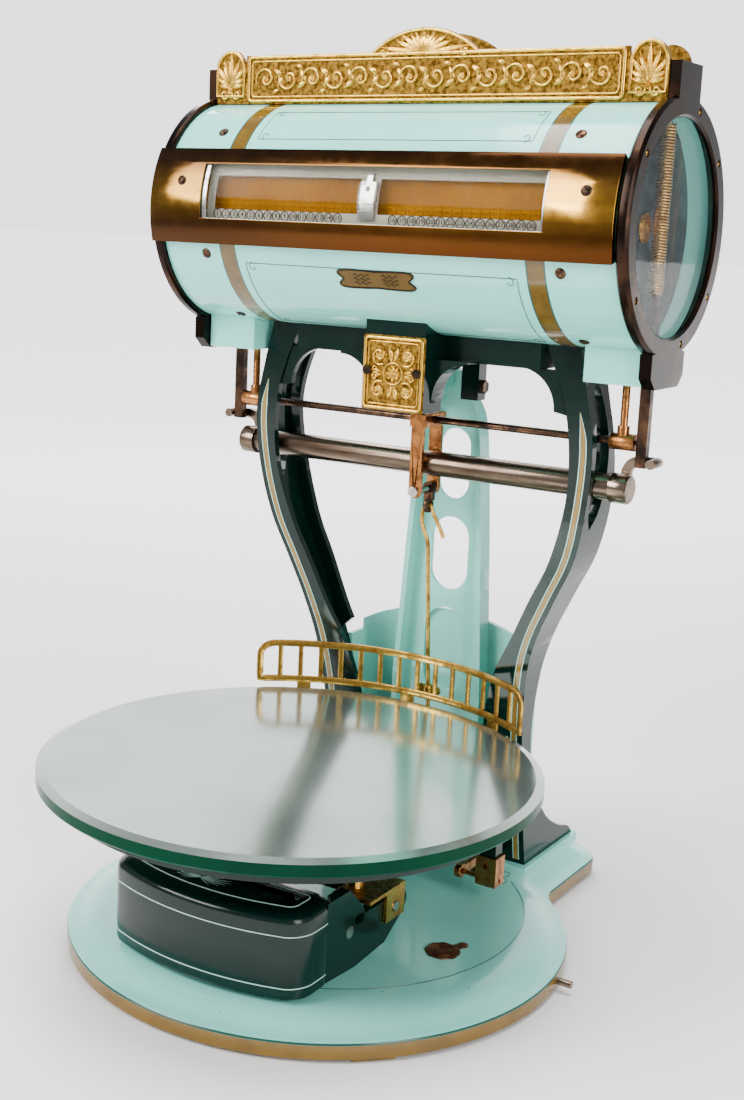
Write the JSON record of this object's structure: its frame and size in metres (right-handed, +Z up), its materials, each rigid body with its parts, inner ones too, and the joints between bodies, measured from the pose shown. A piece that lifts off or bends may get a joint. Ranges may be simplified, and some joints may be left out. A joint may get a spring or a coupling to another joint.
{
  "type": "retail price scale",
  "caption": "Counter price scale: glass platter on a lever platform, and a glazed barrel above it that holds a turning price chart driven by a spring-hung cross rod.",
  "frame": {"origin": "middle of the footprint of the whole scale, on the counter under the base's pads", "axes": "+Z up, +X along the barrel to the right of the person reading the window, -Y towards that person"},
  "size_m": [0.4424, 0.5734, 0.754],
  "materials": {
    "enamel_pale": "gloss baked enamel, pale sea green",
    "enamel_dark": "gloss baked enamel, very dark green",
    "cast_brass": "bright with darker hollows",
    "polished_brass": "polished, lightly tarnished",
    "copper_bronze": "worn reddish bronze",
    "dark_bronze": "oxidised copper-black plating",
    "worn_nickel": "worn nickel plate over steel",
    "spring_steel": "lacquered spring wire",
    "platter_glass": "clear plate glass, green edge",
    "clear_glass": "clear",
    "chart_paper": "aged varnished paper",
    "white_strip": "white enamelled strip",
    "zinc": "dull"
  },
  "bodies": {
    "frame": {"base_casting": "enamel_pale", "pillar_left": "enamel_dark", "pillar_right": "enamel_dark", "cross_beam": "enamel_dark", "ornament_plate": "cast_brass", "rear_column": "enamel_pale", "rear_web": "enamel_pale", "fulcrum_stands": "enamel_dark", "check_stands": "enamel_dark", "escutcheon": "copper_bronze", "barrel_shell": "enamel_pale", "barrel_feet": "enamel_pale", "window_band": "polished_brass", "window_glass": "clear_glass", "reading_frame": "white_strip", "end_ring_left": "dark_bronze", "end_ring_right": "dark_bronze", "end_glass_left": "clear_glass", "end_glass_right": "clear_glass", "bulkhead_left": "zinc", "bulkhead_right": "zinc", "bearing_bushes": "polished_brass", "marquee_front": "cast_brass", "marquee_rear": "cast_brass", "marquee_board": "dark_bronze", "tie_tube": "worn_nickel", "tube_saddles": "enamel_dark", "guide_finger_left": "worn_nickel", "guide_finger_right": "worn_nickel", "spring_left": "spring_steel", "spring_right": "spring_steel", "spring_anchors": "worn_nickel", "barrel_screws": "dark_bronze", "ring_screws": "polished_brass", "frame_bolts": "worn_nickel"},
    "platform": {"platter": "platter_glass", "platter_spider": "enamel_dark", "guard_rail": "polished_brass", "load_brackets": "polished_brass", "leg_blocks": "copper_bronze", "leg_pins": "copper_bronze"},
    "lever": {"lever": "enamel_dark", "counterweight": "enamel_dark", "lever_pins": "worn_nickel"},
    "check_link": {"check_links": "copper_bronze"},
    "crosshead": {"cross_rod": "dark_bronze", "rack_rod_left": "copper_bronze", "rack_rod_right": "copper_bronze", "racks": "polished_brass", "spring_rod_left": "dark_bronze", "spring_rod_right": "dark_bronze", "yoke": "copper_bronze", "yoke_pin": "worn_nickel", "yoke_link": "dark_bronze", "hook_rod": "polished_brass"},
    "drum": {"drum_shaft": "worn_nickel", "chart_drum": "chart_paper", "drum_spiders": "zinc", "pinions": "polished_brass"},
    "lock": {"lock_pin": "worn_nickel"}
  },
  "joints": [
    {"name": "platform_drop", "type": "slide", "parent": "frame", "child": "platform", "axis": [0, 0, -1], "range_m": [0, 0.00408], "stiffness_N_per_m": 24000, "springref_m": -0.006},
    {"name": "lever_tilt", "type": "hinge", "parent": "frame", "child": "lever", "pos_m": [0, -0.126, 0.062], "axis": [-1, 0, 0], "range_deg": [0, 3.9]},
    {"name": "check_tilt", "type": "hinge", "parent": "frame", "child": "check_link", "pos_m": [0, 0.117, 0.05], "axis": [1, 0, 0], "range_deg": [0, 3.9]},
    {"name": "cross_drop", "type": "slide", "parent": "frame", "child": "crosshead", "axis": [0, 0, -1], "range_m": [0, 0.018], "deforming": ["spring_left", "spring_right"]},
    {"name": "drum_spin", "type": "hinge", "parent": "frame", "child": "drum", "pos_m": [0, 0.0958, 0.6], "axis": [-1, 0, 0], "range_deg": [0, 296]},
    {"name": "lock_slide", "type": "slide", "parent": "frame", "child": "lock", "axis": [-1, 0, 0], "range_m": [0, 0.008]}
  ],
  "couplings": [
    {"joint": "lever_tilt", "follows": "platform_drop", "rad_per_m": 16.129},
    {"joint": "check_tilt", "follows": "platform_drop", "rad_per_m": 16.129},
    {"joint": "cross_drop", "follows": "platform_drop", "ratio": 4.4032},
    {"joint": "drum_spin", "follows": "platform_drop", "rad_per_m": 1258.1}
  ]
}
